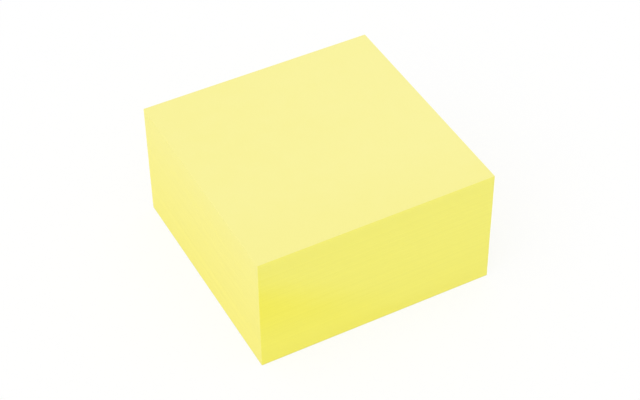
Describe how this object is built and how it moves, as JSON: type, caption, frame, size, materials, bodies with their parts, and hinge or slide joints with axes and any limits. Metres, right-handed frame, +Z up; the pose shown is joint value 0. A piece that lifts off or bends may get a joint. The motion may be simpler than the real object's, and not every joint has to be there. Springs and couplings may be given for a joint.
{
  "type": "sticky note pad",
  "caption": "Thick square block of pale yellow sticky notes, gummed along one edge, on a release paper backing.",
  "frame": {"origin": "centre of the pad's base, on the surface it lies on", "axes": "+Z up through the notes; +X from the gummed edge to the free edge that a finger lifts; +Y along the gummed edge"},
  "size_m": [0.076, 0.076, 0.0401],
  "materials": {
    "note_paper": "matte",
    "release_paper": "smooth, slightly glossy"
  },
  "bodies": {
    "root": {"note_stack": "note_paper", "backing_sheet": "release_paper"}
  },
  "joints": []
}
